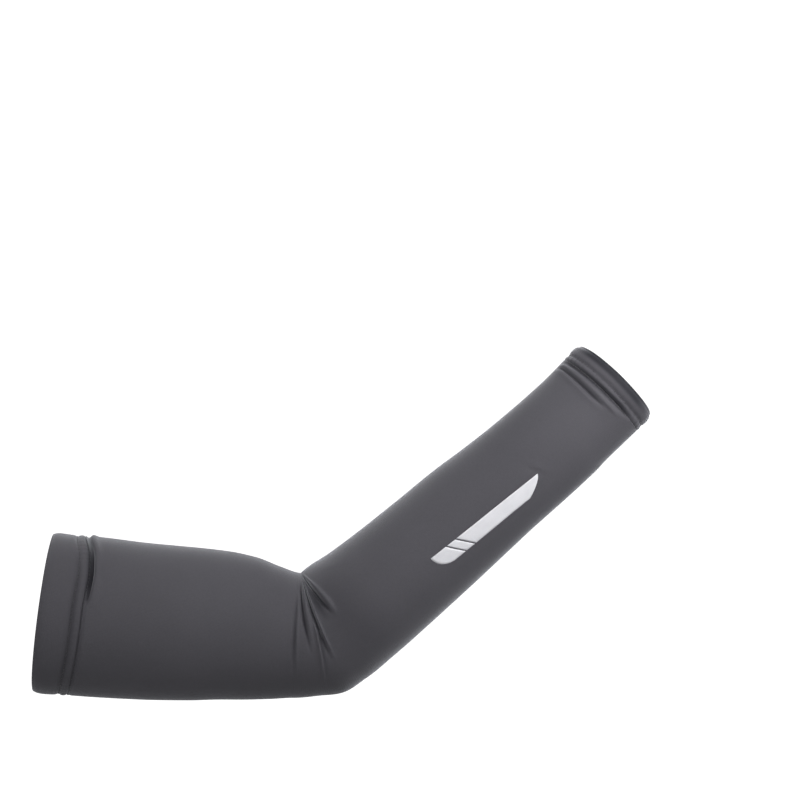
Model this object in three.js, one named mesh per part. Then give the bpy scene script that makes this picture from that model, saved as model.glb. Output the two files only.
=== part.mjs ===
// An arm sleeve of thin stretch knit, in the form that it has when worn on a bent arm.
// Its pieces are the sewn tube, the turned and stitched hem at each end, the overlocked
// seam allowance that runs inside the tube, and a reflective print in three fields.
// Millimetres, +Z up. The origin is the middle of the upper arm's opening. The upper arm
// runs along +X with a slight dip, and the forearm rises from the elbow in the XZ plane.
// The side that carries the print faces -Y.
import * as THREE from "three";

const DEGREE = Math.PI / 180;
const FULL_TURN = 360 * DEGREE;

// Lengths along the middle of the sleeve, and the pose of the arm that fills it
const UPPER_ARM_LENGTH = 166.7; // upper rim to where the two arms' middle lines cross
const FOREARM_LENGTH = 230.3; // from there to the wrist rim
const UPPER_ARM_DIP = 4.7 * DEGREE; // the upper arm falls this much towards the elbow
const ELBOW_BEND = 46.3 * DEGREE; // the forearm turns up from the upper arm's line
const CROOK_RADIUS = 3; // the cloth's bend in the crook of the elbow

// Heights lie in the plane of the bend, depths across it
const UPPER_ARM_HEIGHT = 94;
const UPPER_ARM_DEPTH = 88;
const ELBOW_HEIGHT = 75.5;
const ELBOW_DEPTH = 76;
const FOREARM_HEIGHT = 68;
const FOREARM_DEPTH = 78;
const WRIST_HEIGHT = 60;
const WRIST_DEPTH = 48;

// How far each rim leans along the arm at the crook side, and how far an edge bows at the -Y side
const UPPER_RIM_LEAN = 2;
const UPPER_HEM_BOW = 5.8; // the hem's sewn edge; its rim stays flat
const BOW_POWER = 1.3; // above 1, the bow keeps nearer to the middle of the side
const WRIST_RIM_LEAN = 2;
const WRIST_RIM_BOW = 2.4;

// Cloth, hems and seam
const CLOTH = 1.2; // one layer of knit
const CLEARANCE = 0.3; // between pieces that are sewn or bonded together
const UPPER_HEM_WIDTH = 19.7;
const WRIST_HEM_WIDTH = 13.8;
const HEM_LAP = 4; // the turned-in layer runs on under the tube
const HEM_FOLD = 1; // rounding of the folded rim
const NEEDLE_SPACING = 5.2; // between a cover stitch's two rows, one of them at the hem's edge
const NEEDLE_DEPTH = 0.35; // the stitch pulls a groove into the hem
const NEEDLE_WIDTH = 1.4;
const SEAM_AROUND = 304 * DEGREE; // on the far side, nearer the crook
const SEAM_WIDTH = 6; // across the ridge that the allowance makes in the tube
const SEAM_FLAT = 0.35; // shares of that width to either side: the allowance and the ridge's flat,
const SEAM_FOOT = 0.65; // and the ridge's foot
const SEAM_THICKNESS = 1.4; // two trimmed edges and their thread
const SEAM_CROWN = 0.6; // share of the allowance's width, and of its thickness, inside its bevels
const SEAM_RISE = 0.7; // the allowance pushes the tube out over itself
const PUCKER_PITCH = 10;
const PUCKER_RISE = 0.6;
const PUCKER_REACH = 60; // gathers show this far up from the wrist hem

// Loose cloth
const FOLD_RISE = 2; // the highest fold at the elbow
const FOLD_WIDTH = 3;
const FOLD_ROOT_SHIFT = 1.5; // the folds start this far on the upper arm's side of the crook
const FOLD_GROWTH = 25; // distance from the crook over which a fold widens
const FOLD_START_WIDTH = 0.3; // share of its width at the crook
const HEM_PUFF_RISE = 1.2; // the tube stands proud beside the upper hem
const HEM_PUFF_WIDTH = 12;
const HEM_PUFF_ARC = { from: 10 * DEGREE, to: 65 * DEGREE, fade: 45 * DEGREE };
const WRINKLE_RISE = 0.8; // rings of slack cloth beside the wrist hem
const WRINKLE_PITCH = 6;
const WRINKLE_WIDTH = 2.1;
const WRINKLE_FADE = 50 * DEGREE;
const WRINKLE_REACH = 2.2; // in pitches, above the hem

// Reflective print
const PRINT_LENGTH = 79.2;
const PRINT_HEIGHT = 9;
const PRINT_THICKNESS = 0.4;
const PRINT_SLIT = 0.9; // bare cloth between two fields
const PRINT_SLANT = 7.5; // how far a slit runs along the print from edge to edge
const PRINT_FROM_ELBOW = 116; // the print's middle, from the elbow's corner
const PRINT_AROUND = 110.3 * DEGREE;
const PRINT_TILT = -3.8 * DEGREE;
const FIRST_SLIT = 0.145; // shares of the print's length, to a slit's middle
const SECOND_SLIT = 0.232;
const TAIL_TIP = 1.28; // shares of the print's height that the two ends draw in over
const STRIP_TIP = 1.36;
const TAIL_TIP_ROUNDING = 0.98;
const STRIP_TIP_POWER = 1.55;

// The middle line is the upper arm, an arc round a pivot just outside the crook, and the forearm
const CROOK_SHARE = 0.485; // of the elbow's height, from the middle line to the crook
const elbowRadius = ELBOW_HEIGHT * CROOK_SHARE + CROOK_RADIUS;
const bendSetback = elbowRadius * Math.tan(ELBOW_BEND / 2);
const upperRun = UPPER_ARM_LENGTH - bendSetback;
const elbowRun = elbowRadius * ELBOW_BEND;
const foreRun = FOREARM_LENGTH - bendSetback;
const sleeveRun = upperRun + elbowRun + foreRun;

// A unit vector in the XZ plane at an angle above +X, and the one a quarter turn towards the crook
const heading = (angle) => new THREE.Vector3(Math.cos(angle), 0, Math.sin(angle));
const crookward = (angle) => heading(angle + 90 * DEGREE);

const elbowStart = heading(-UPPER_ARM_DIP).multiplyScalar(upperRun);
const pivot = elbowStart.clone().addScaledVector(crookward(-UPPER_ARM_DIP), elbowRadius);

// The middle line's point and its direction of travel at a distance along it
function middleLine(along) {
  if (along < upperRun) {
    return { angle: -UPPER_ARM_DIP, centre: heading(-UPPER_ARM_DIP).multiplyScalar(along) };
  }
  const turned = Math.min((along - upperRun) / elbowRadius, ELBOW_BEND);
  const angle = turned - UPPER_ARM_DIP;
  const centre = pivot.clone().addScaledVector(crookward(angle), -elbowRadius);
  const past = Math.max(along - upperRun - elbowRun, 0);
  return { angle, centre: centre.addScaledVector(heading(angle), past) };
}

// Sections along the arm. `at` is a share of the stretch that the row belongs to. `up` reaches
// towards the crook and `down` away from it, as shares of the height. `side` is a share of the depth.
const upperArm = { start: 0, run: upperRun, height: UPPER_ARM_HEIGHT, depth: UPPER_ARM_DEPTH };
const elbow = { start: upperRun, run: elbowRun, height: ELBOW_HEIGHT, depth: ELBOW_DEPTH };
const forearm = { start: upperRun + elbowRun, run: foreRun, height: FOREARM_HEIGHT, depth: FOREARM_DEPTH };
const wrist = { start: upperRun + elbowRun, run: foreRun, height: WRIST_HEIGHT, depth: WRIST_DEPTH };
const SECTIONS = [
  { of: upperArm, at: 0, up: 0.514, down: 0.499, side: 0.505 },
  { of: upperArm, at: 0.08, up: 0.504, down: 0.5, side: 0.5 },
  { of: upperArm, at: 0.18, up: 0.506, down: 0.5, side: 0.5 },
  { of: upperArm, at: 0.39, up: 0.492, down: 0.494, side: 0.495 },
  { of: upperArm, at: 0.6, up: 0.487, down: 0.475, side: 0.48 },
  { of: upperArm, at: 0.71, up: 0.48, down: 0.457, side: 0.47 },
  { of: upperArm, at: 0.82, up: 0.456, down: 0.444, side: 0.455 },
  { of: upperArm, at: 0.92, up: 0.408, down: 0.428, side: 0.44 },
  { of: elbow, at: 0, up: 0.471, down: 0.512, side: 0.5 },
  { of: elbow, at: 0.25, up: 0.482, down: 0.502, side: 0.5 },
  { of: elbow, at: 0.5, up: CROOK_SHARE, down: 0.522, side: 0.5 },
  { of: elbow, at: 0.75, up: 0.487, down: 0.494, side: 0.505 },
  { of: elbow, at: 1, up: 0.488, down: 0.485, side: 0.51 },
  { of: forearm, at: 0.08, up: 0.507, down: 0.543, side: 0.5 },
  { of: forearm, at: 0.17, up: 0.481, down: 0.542, side: 0.49 },
  { of: forearm, at: 0.32, up: 0.454, down: 0.537, side: 0.455 },
  { of: forearm, at: 0.45, up: 0.437, down: 0.528, side: 0.415 },
  { of: forearm, at: 0.56, up: 0.407, down: 0.521, side: 0.38 },
  { of: forearm, at: 0.67, up: 0.387, down: 0.522, side: 0.35 },
  { of: wrist, at: 0.78, up: 0.43, down: 0.586, side: 0.53 },
  { of: wrist, at: 0.84, up: 0.431, down: 0.569, side: 0.505 },
  { of: wrist, at: 0.9, up: 0.442, down: 0.562, side: 0.49 },
  { of: wrist, at: 1, up: 0.475, down: 0.548, side: 0.5 },
];

// A smooth curve through the rows that never overshoots them
function curveThrough(places, values) {
  const slopes = places.slice(1).map((p, i) => (values[i + 1] - values[i]) / (p - places[i]));
  const tangents = values.map((_, i) => {
    const before = slopes[Math.max(i - 1, 0)];
    const after = slopes[Math.min(i, slopes.length - 1)];
    return before * after > 0 ? (2 * before * after) / (before + after) : 0;
  });
  return (place) => {
    const last = places.length - 2;
    let i = 0;
    while (i < last && place > places[i + 1]) i += 1;
    const gap = places[i + 1] - places[i];
    const t = THREE.MathUtils.clamp((place - places[i]) / gap, 0, 1);
    const u = 1 - t;
    const start = values[i] * u * u * (1 + 2 * t) + tangents[i] * gap * t * u * u;
    const end = values[i + 1] * t * t * (1 + 2 * u) - tangents[i + 1] * gap * t * t * u;
    return start + end;
  };
}

const rowPlaces = SECTIONS.map((row) => row.of.start + row.at * row.of.run);
const upAt = curveThrough(rowPlaces, SECTIONS.map((row) => row.up * row.of.height));
const downAt = curveThrough(rowPlaces, SECTIONS.map((row) => row.down * row.of.height));
const sideAt = curveThrough(rowPlaces, SECTIONS.map((row) => row.side * row.of.depth));
const girthRadiusAt = (along) => (upAt(along) + downAt(along) + 2 * sideAt(along)) / 4;

const smooth = THREE.MathUtils.smoothstep; // (value, low, high) to 0..1

// 1 inside a range of angles round the sleeve, fading to 0 over `fade` outside it
function within(around, { from, to, fade }) {
  const turned = around - (from + to) / 2 + FULL_TURN / 2;
  const away = Math.abs(THREE.MathUtils.euclideanModulo(turned, FULL_TURN) - FULL_TURN / 2);
  return 1 - smooth(away - (to - from) / 2, 0, fade);
}

// `base` is the distance along the sleeve without the lean and bow, which fade towards the elbow
function leanedAlong(base, around) {
  const upperShare = THREE.MathUtils.clamp(1 - base / upperRun, 0, 1);
  const wristShare = THREE.MathUtils.clamp(1 - (sleeveRun - base) / foreRun, 0, 1);
  const sewnShare = smooth(base, 0, UPPER_HEM_WIDTH) * (1 - smooth(base, UPPER_HEM_WIDTH, upperRun / 2));
  const upperLean = upperShare * UPPER_RIM_LEAN * Math.cos(around);
  const upperBow = UPPER_HEM_BOW * Math.max(Math.sin(around), 0) ** BOW_POWER;
  const wristLean = WRIST_RIM_BOW * Math.sin(around) - WRIST_RIM_LEAN * Math.cos(around);
  return base + upperLean + sewnShare * upperBow + wristShare * wristLean;
}

// A point on the sleeve. `around` starts at the crook side and passes the -Y side first, and
// `lift` is the height above the cloth's smooth outer face.
function skin(base, around, lift) {
  const along = leanedAlong(base, around);
  const { angle, centre } = middleLine(along);
  const half = Math.cos(around) > 0 ? upAt(along) : downAt(along);
  const point = centre.addScaledVector(crookward(angle), (half + lift) * Math.cos(around));
  point.y = -(sideAt(along) + lift) * Math.sin(around);
  return point;
}

const hump = (offset) => Math.exp(-offset * offset);

// Folds that fan out from the crook over both sides of the elbow. `angle` is in degrees from the
// line that halves the bend, towards the forearm. A negative rise is a crease. Rises are shares of
// FOLD_RISE, widths of FOLD_WIDTH, and reaches of ELBOW_HEIGHT.
const FOLDS = [
  { angle: -25, width: 0.8, nearRise: -0.4, nearReach: 0.78, farRise: -0.4, farReach: 0.6 },
  { angle: -20, width: 0.8, nearRise: 0.4, nearReach: 0.8, farRise: 0.5, farReach: 0.65 },
  { angle: -13, width: 0.85, nearRise: -0.8, nearReach: 0.62, farRise: -0.8, farReach: 0.7 },
  { angle: -8, width: 0.9, nearRise: 0.7, nearReach: 0.85, farRise: 0.9, farReach: 0.75 },
  { angle: -1.5, width: 0.75, nearRise: -1, nearReach: 0.7, farRise: -0.9, farReach: 0.6 },
  { angle: 4.5, width: 0.8, nearRise: 0.9, nearReach: 0.72, farRise: 1, farReach: 0.7 },
  { angle: 19.5, width: 1.1, nearRise: -1, nearReach: 0.44, farRise: -0.6, farReach: 0.5 },
  { angle: 30, width: 1.2, nearRise: 0.8, nearReach: 0.44, farRise: 0.6, farReach: 0.45 },
];
const foldMiddle = ELBOW_BEND / 2 - UPPER_ARM_DIP;
const foldRoot = pivot.clone().addScaledVector(crookward(foldMiddle), -CROOK_RADIUS);
foldRoot.addScaledVector(heading(foldMiddle), -FOLD_ROOT_SHIFT);

function elbowFolds(base, around) {
  const away = skin(base, around, 0).sub(foldRoot);
  const depth = -away.dot(crookward(foldMiddle));
  const reached = Math.hypot(depth, away.dot(heading(foldMiddle)));
  const turned = Math.atan2(away.dot(heading(foldMiddle)), depth);
  const grown = FOLD_START_WIDTH + (1 - FOLD_START_WIDTH) * Math.min(reached / FOLD_GROWTH, 1);
  const near = Math.sin(around) > 0;
  let lift = 0;
  for (const fold of FOLDS) {
    const reach = (near ? fold.nearReach : fold.farReach) * ELBOW_HEIGHT;
    const rise = (near ? fold.nearRise : fold.farRise) * FOLD_RISE;
    const offset = (reached * Math.sin(turned - fold.angle * DEGREE)) / (fold.width * FOLD_WIDTH * grown);
    const ends = smooth(reached, 0, FOLD_GROWTH) * (1 - smooth(reached, reach / 2, reach));
    lift += rise * ends * hump(offset);
  }
  return depth > 0 ? lift : 0;
}

// The tube puffs out beside the upper hem, from the crook side to the middle of the near side
function hemPuff(base, around) {
  const out = (base - UPPER_HEM_WIDTH) / HEM_PUFF_WIDTH;
  const ridge = out > 0 && out < 1 ? Math.sin(Math.PI * Math.sqrt(out)) : 0;
  return HEM_PUFF_RISE * ridge * within(around, HEM_PUFF_ARC);
}

// Rings of slack above the wrist hem. `at` counts pitches from the hem's edge.
const WRINKLES = [
  { at: 0.6, rise: 0.7, from: -60, to: 190 },
  { at: 1.1, rise: -0.8, from: -40, to: 95 },
  { at: 1.6, rise: 0.4, from: -30, to: 70 },
];

function wristWrinkles(base, around) {
  const fromHem = (sleeveRun - WRIST_HEM_WIDTH - base) / WRINKLE_PITCH;
  if (fromHem <= 0) return 0;
  return WRINKLES.reduce((sum, wrinkle) => {
    const offset = ((fromHem - wrinkle.at) * WRINKLE_PITCH) / WRINKLE_WIDTH;
    const arc = { from: wrinkle.from * DEGREE, to: wrinkle.to * DEGREE, fade: WRINKLE_FADE };
    const share = within(around, arc) * hump(offset) * smooth(fromHem, 0, wrinkle.at / 2);
    return sum + WRINKLE_RISE * wrinkle.rise * share;
  }, 0);
}

// The tube lies over the seam allowance, and gathers along it near the wrist
function seamRidge(base, around) {
  const offset = Math.abs(around - SEAM_AROUND) * girthRadiusAt(base);
  const over = 1 - smooth(offset, SEAM_FLAT * SEAM_WIDTH, SEAM_FOOT * SEAM_WIDTH);
  const fromHem = sleeveRun - WRIST_HEM_WIDTH - base;
  const gathered = 1 - smooth(fromHem, PUCKER_REACH / 2, PUCKER_REACH);
  const pucker = PUCKER_RISE * gathered * Math.cos((FULL_TURN * fromHem) / PUCKER_PITCH);
  return over * (SEAM_RISE + pucker) * smooth(fromHem, 0, PUCKER_PITCH / 2);
}

function clothLift(base, around) {
  return (
    elbowFolds(base, around) + hemPuff(base, around) + wristWrinkles(base, around) + seamRidge(base, around)
  );
}

// Columns round the sleeve: four hold the seam's width, and the others share what is left
const SEAM_COLUMNS = [-SEAM_FOOT, -SEAM_FLAT, SEAM_FLAT, SEAM_FOOT];
const CALM_COLUMNS = 31;
const SEAM_MARGIN = 6 * DEGREE; // from the ridge's foot to the next column, where the sleeve is narrowest
const narrowest = Math.min(WRIST_DEPTH, WRIST_HEIGHT) / 2;
const calmMargin = (SEAM_FOOT * SEAM_WIDTH) / narrowest + SEAM_MARGIN;
const columns = [
  ...SEAM_COLUMNS.map((share) => (base) => SEAM_AROUND + (share * SEAM_WIDTH) / girthRadiusAt(base)),
  ...Array.from({ length: CALM_COLUMNS }, (_, i) => () => {
    const share = i / (CALM_COLUMNS - 1);
    return SEAM_AROUND - FULL_TURN + calmMargin + share * (FULL_TURN - 2 * calmMargin);
  }),
];

// Evenly spaced values from a to b, both included
const spread = (a, b, steps) => Array.from({ length: steps + 1 }, (_, i) => a + ((b - a) * i) / steps);

// Rings of the tube, from hem to hem: close together where the cloth is loose, and further apart
// where it is taut
const tubeEnd = sleeveRun - WRIST_HEM_WIDTH;
const foldMargin = 0.12 * elbowRun;
const STRETCHES = [
  { end: UPPER_HEM_WIDTH + HEM_PUFF_WIDTH, rings: 4 },
  { end: upperRun - foldMargin, rings: 8 },
  { end: upperRun + elbowRun + foldMargin, rings: 24 },
  { end: tubeEnd - PUCKER_REACH, rings: 7 },
  { end: tubeEnd - WRINKLE_REACH * WRINKLE_PITCH, rings: 9 },
  { end: tubeEnd, rings: 6 },
];
const tubeRings = [UPPER_HEM_WIDTH];
for (const { end, rings } of STRETCHES) {
  tubeRings.push(...spread(tubeRings.at(-1), end, rings).slice(1));
}

// A closed solid from a grid of points. Rows close on the first row, so each column is a loop.
// With `ringed`, columns close too. Without it, the first and last rows of columns are capped.
function gridSolid(grid, ringed) {
  const rows = grid.length;
  const across = grid[0].length;
  const positions = grid.flat().flatMap((p) => [p.x, p.y, p.z]);
  const index = (i, j) => (i % rows) * across + (j % across);
  const faces = [];
  for (let i = 0; i < rows; i += 1) {
    for (let j = 0; j < (ringed ? across : across - 1); j += 1) {
      faces.push(index(i, j), index(i, j + 1), index(i + 1, j + 1));
      faces.push(index(i, j), index(i + 1, j + 1), index(i + 1, j));
    }
  }
  if (!ringed) {
    for (let i = 1; i < rows / 2; i += 1) {
      const mirror = (k) => (rows - 1 - k) % rows;
      for (const [j, flip] of [[0, false], [across - 1, true]]) {
        const quad = [index(i - 1, j), index(i, j), index(mirror(i), j), index(mirror(i - 1), j)];
        if (flip) quad.reverse();
        if (quad[1] !== quad[2]) faces.push(quad[0], quad[1], quad[2]);
        faces.push(quad[0], quad[2], quad[3]);
      }
    }
  }
  const geometry = new THREE.BufferGeometry();
  geometry.setAttribute("position", new THREE.Float32BufferAttribute(positions, 3));
  geometry.setIndex(faces);
  geometry.computeVertexNormals();
  return geometry;
}

// A profile of { base, lift } points, each lift above the loose cloth, carried round the sleeve
function wrap(profile) {
  const grid = profile.map(({ base, lift }) =>
    columns.map((column) => skin(base, column(base), lift + clothLift(base, column(base)))),
  );
  return gridSolid(grid, true);
}

function tube() {
  const outside = tubeRings.map((base) => ({ base, lift: 0 }));
  const inside = [...tubeRings].reverse().map((base) => ({ base, lift: -CLOTH }));
  return wrap([...outside, ...inside]);
}

// The rounded rim of a hem. `from` is a share of HEM_FOLD, and `lift` of the hem's thickness.
const RIM_PROFILE = [
  { from: 1, lift: 0 },
  { from: 0.3, lift: 0.15 },
  { from: 0, lift: 0.5 },
  { from: 0.3, lift: 0.85 },
  { from: 1, lift: 1 },
];

// A hem is the tube's end turned in: two layers from the rim to the edge of the tube, and the
// inner layer running on under it. `place` turns a distance from the rim into a base.
function hem(width, place) {
  const inner = -2 * CLOTH - CLEARANCE;
  const needle = width - NEEDLE_SPACING;
  const profile = [
    { from: width - CLEARANCE, lift: 0 },
    { from: needle + NEEDLE_WIDTH / 2, lift: 0 },
    { from: needle, lift: -NEEDLE_DEPTH },
    { from: needle - NEEDLE_WIDTH / 2, lift: 0 },
    ...RIM_PROFILE.map(({ from, lift }) => ({ from: from * HEM_FOLD, lift: lift * inner })),
    { from: width + HEM_LAP, lift: inner },
    { from: width + HEM_LAP, lift: inner + CLOTH },
    { from: width - CLEARANCE, lift: inner + CLOTH },
  ];
  return profile.map(({ from, lift }) => ({ base: place(from), lift }));
}

const upperHem = () => wrap(hem(UPPER_HEM_WIDTH, (from) => from).reverse());
const wristHem = () => wrap(hem(WRIST_HEM_WIDTH, (from) => sleeveRun - from));

// The seam allowance lies against the inside of the tube, between the two hems' laps
function seamAllowance() {
  const start = UPPER_HEM_WIDTH + HEM_LAP + CLEARANCE;
  const end = tubeEnd - HEM_LAP - CLEARANCE;
  const rings = [start, ...tubeRings.filter((base) => base > start && base < end), end];
  const outer = -CLOTH - CLEARANCE;
  const inner = outer - SEAM_THICKNESS;
  const bevel = outer - SEAM_CROWN * SEAM_THICKNESS;
  const crown = SEAM_CROWN * SEAM_FLAT;
  const section = [
    { share: SEAM_FLAT, lift: outer },
    { share: -SEAM_FLAT, lift: outer },
    { share: -SEAM_FLAT, lift: bevel },
    { share: -crown, lift: inner },
    { share: crown, lift: inner },
    { share: SEAM_FLAT, lift: bevel },
  ];
  const grid = section.map(({ share, lift }) =>
    rings.map((base) => {
      const around = SEAM_AROUND + (share * SEAM_WIDTH) / girthRadiusAt(base);
      return skin(base, around, lift + clothLift(base, around));
    }),
  );
  return gridSolid(grid, false);
}

// One field of the print, between two end lines. Each line gives a place along the print for a
// share of its height, 0 at the edge nearer the crook and 1 at the other.
const PRINT_STEP = 8; // along the forearm, to keep the film close to the cloth
const PRINT_BANDS = 6;

function printField(startLine, endLine) {
  const steps = Math.ceil((endLine(0) - startLine(0)) / PRINT_STEP) + 1;
  const middle = upperRun + elbowRun + PRINT_FROM_ELBOW - bendSetback;
  const point = (step, band, lift) => {
    const share = band / PRINT_BANDS;
    const along = startLine(share) + ((endLine(share) - startLine(share)) * step) / steps - PRINT_LENGTH / 2;
    const down = (share - 0.5) * PRINT_HEIGHT;
    const base = middle + along * Math.cos(PRINT_TILT) + down * Math.sin(PRINT_TILT);
    const across = down * Math.cos(PRINT_TILT) - along * Math.sin(PRINT_TILT);
    return skin(base, PRINT_AROUND + across / girthRadiusAt(middle), lift);
  };
  const bands = spread(0, PRINT_BANDS, PRINT_BANDS);
  const backing = bands.map((band) => ({ band, lift: CLEARANCE }));
  const face = [...bands].reverse().map((band) => ({ band, lift: CLEARANCE + PRINT_THICKNESS }));
  const grid = [...backing, ...face].map(({ band, lift }) =>
    spread(0, steps, steps).map((step) => point(step, band, lift)),
  );
  return gridSolid(grid, false);
}

const roundedTip = (share) => TAIL_TIP * PRINT_HEIGHT * (1 - Math.sqrt(1 - TAIL_TIP_ROUNDING * share ** 2));
const sweptTip = (share) => PRINT_LENGTH - STRIP_TIP * PRINT_HEIGHT * share ** STRIP_TIP_POWER;
const slitSide = (slit, side) => (share) =>
  slit * PRINT_LENGTH + share * PRINT_SLANT + (side * PRINT_SLIT) / 2;
const printTail = () => printField(roundedTip, slitSide(FIRST_SLIT, -1));
const printBar = () => printField(slitSide(FIRST_SLIT, 1), slitSide(SECOND_SLIT, -1));
const printStrip = () => printField(slitSide(SECOND_SLIT, 1), sweptTip);

const knit = new THREE.MeshStandardMaterial({ color: 0x4c4b50, roughness: 0.75, metalness: 0 });
const hemKnit = new THREE.MeshStandardMaterial({ color: 0x48474c, roughness: 0.8, metalness: 0 });
const overlock = new THREE.MeshStandardMaterial({ color: 0x3f3e43, roughness: 0.9, metalness: 0 });
const film = new THREE.MeshStandardMaterial({ color: 0xdcdce0, roughness: 0.45, metalness: 0.1 });

const sleeve = new THREE.Group();

function addPiece(name, geometry, material) {
  const mesh = new THREE.Mesh(geometry, material);
  mesh.name = name;
  sleeve.add(mesh);
}

addPiece("sleeve_tube", tube(), knit);
addPiece("upper_hem", upperHem(), hemKnit);
addPiece("wrist_hem", wristHem(), hemKnit);
addPiece("seam_allowance", seamAllowance(), overlock);
addPiece("print_tail", printTail(), film);
addPiece("print_bar", printBar(), film);
addPiece("print_strip", printStrip(), film);

export default sleeve;
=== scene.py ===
"""An arm sleeve of thin, dark grey stretch knit, in the form that it has on a bent arm."""
import math

import bmesh
import bpy
import numpy as np
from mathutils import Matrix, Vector


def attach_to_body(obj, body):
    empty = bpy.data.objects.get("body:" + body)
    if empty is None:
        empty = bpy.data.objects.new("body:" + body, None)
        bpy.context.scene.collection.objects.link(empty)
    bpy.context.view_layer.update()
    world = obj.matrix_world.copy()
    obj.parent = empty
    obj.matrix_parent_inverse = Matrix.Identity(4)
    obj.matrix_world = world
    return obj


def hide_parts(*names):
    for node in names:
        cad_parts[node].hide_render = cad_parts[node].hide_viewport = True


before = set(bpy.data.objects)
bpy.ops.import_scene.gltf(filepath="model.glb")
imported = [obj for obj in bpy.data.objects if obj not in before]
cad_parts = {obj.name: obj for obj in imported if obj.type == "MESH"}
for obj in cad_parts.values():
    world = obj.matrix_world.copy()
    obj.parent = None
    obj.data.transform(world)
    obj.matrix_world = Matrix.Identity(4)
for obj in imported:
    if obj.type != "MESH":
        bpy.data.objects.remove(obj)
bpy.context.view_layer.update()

# Shapes are worked out in millimetres, in the row's frame, and turned into metres as meshes are made.
MM = 0.001
TAU = 2 * math.pi
DEGREE = math.pi / 180

# The sleeve's lengths, and the pose of the arm that fills it
UPPER_ARM_LENGTH = 166.7
FOREARM_LENGTH = 230.3
UPPER_ARM_DIP = 4.7 * DEGREE
ELBOW_BEND = 46.3 * DEGREE
CROOK_RADIUS = 3
CROOK_SHARE = 0.485
UPPER_ARM_HEIGHT = 94
UPPER_ARM_DEPTH = 88
ELBOW_HEIGHT = 75.5
ELBOW_DEPTH = 76
FOREARM_HEIGHT = 68
FOREARM_DEPTH = 78
WRIST_HEIGHT = 60
WRIST_DEPTH = 48

# The rims lean and bow along the arm. The upper sewn edge bows more over the arc where its cloth is
# slack, and the wrist's bow loses a share of itself on the way to the sewn edge.
UPPER_RIM_LEAN = 2
UPPER_HEM_BOW = 5.8
BOW_POWER = 1.3
UPPER_SLACK_BOW = 2.4
UPPER_SLACK_ARC = (40, 50, 32)
WRIST_RIM_LEAN = 2
WRIST_RIM_BOW = 2.4
WRIST_BOW_LOSS = 0.35

# Cloth and hems. The roll is how far the rim turns in, and the groove how deep a needle row pulls.
CLOTH = 1.1
HEM_GAP = 0.15
HEM_LAP = 4
HEM_FOLD = 0.9
HEM_SWELL = 0.35
ROLL_REACH = 1.5
ROW_GROOVE_WIDTH = 1.2
SEWN_GROOVE_WIDTH = 1.1
BETWEEN_ROWS = 0.15
FINE_PUCKER = 0.12
FINE_PITCH = 2.4
WIDE_PUCKER = 0.06
WIDE_PITCH = 4.3
BAND_WAVE = 0.22
UPPER_HEM_WIDTH = 19.7
UPPER_NEEDLE_SPACING = 5.2
UPPER_ROLL = 0.75
UPPER_GROOVE = 0.7
WRIST_HEM_WIDTH = 12.9
WRIST_NEEDLE_SPACING = 4.2
WRIST_ROLL = 1.7
WRIST_GROOVE = 0.5

# Lengthwise seam. Its puckers are whole up to one distance from the wrist hem and gone at another.
SEAM_AROUND = 304 * DEGREE
SEAM_WIDTH = 6
SEAM_THICKNESS = 1.3
SEAM_RISE = 0.55
SEAM_GROOVE = 0.45
SEAM_GROOVE_WIDTH = 0.55
HEM_SEAM_RISE = 0.4
HEM_SEAM_RISE_WIDTH = 3.0
HEM_SEAM_GROOVE = 0.35
HEM_SEAM_GROOVE_WIDTH = 0.6
PUCKER_RISE = 0.55
PUCKER_PITCH = 8.5
PUCKER_SPILL = 0.25
PUCKERS_WHOLE = 55
PUCKERS_GONE = 110

# Threads. Needle stitches are sunk in their groove. The looper's zigzag reaches to both sides by a share
# of the rows' spacing, and the overlock's by a share of the allowance's width.
STITCH_SIZES = {"Pitch": 2.5, "Thread": 0.42, "Stitch": 2.35}
STITCH_SINK = 0.55
NEEDLE_PATH_POINTS = 360
LOOPER_SIZES = {"Thread": 0.3}
LOOPER_PITCH = 2.8
LOOPER_SHIFT = 1.4
LOOPER_REACH = 0.62
LOOPER_GAP = 0.12
OVERLOCK_PITCH = 2.4
OVERLOCK_REACH = 0.42
OVERLOCK_GAP = 0.18
OVERLOCK_EDGE_RISE = 0.3
TURN_POINTS = 6
THREAD_SEGMENTS = 8
THREAD_RINGS = 6
LOOPER_SIDES = 5

# Reflective print. The film's edge stands just clear of the cloth, and its foot lies in it.
PRINT_LENGTH = 79.2
PRINT_HEIGHT = 9
PRINT_SLIT = 0.9
PRINT_SLANT = 7.5
PRINT_FROM_ELBOW = 116
PRINT_AROUND = 110.3 * DEGREE
PRINT_TILT = -3.8 * DEGREE
PRINT_FILM = 0.22
FILM_CLEARANCE = 0.04
FILM_FOOT = -0.25
FILM_ROWS = 14
FILM_STEP = 1.2
TAIL_TIP = 1.28 * PRINT_HEIGHT
TAIL_TIP_ROUNDING = 0.985
STRIP_TIP = 1.36 * PRINT_HEIGHT
STRIP_TIP_POWER = 1.55
FIRST_SLIT = 0.145 * PRINT_LENGTH
SECOND_SLIT = 0.232 * PRINT_LENGTH

ELBOW_RADIUS = ELBOW_HEIGHT * CROOK_SHARE + CROOK_RADIUS
BEND_SETBACK = ELBOW_RADIUS * math.tan(ELBOW_BEND / 2)
UPPER_RUN = UPPER_ARM_LENGTH - BEND_SETBACK
ELBOW_RUN = ELBOW_RADIUS * ELBOW_BEND
FORE_RUN = FOREARM_LENGTH - BEND_SETBACK
SLEEVE_RUN = UPPER_RUN + ELBOW_RUN + FORE_RUN
TUBE_START = UPPER_HEM_WIDTH
TUBE_END = SLEEVE_RUN - WRIST_HEM_WIDTH

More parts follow.
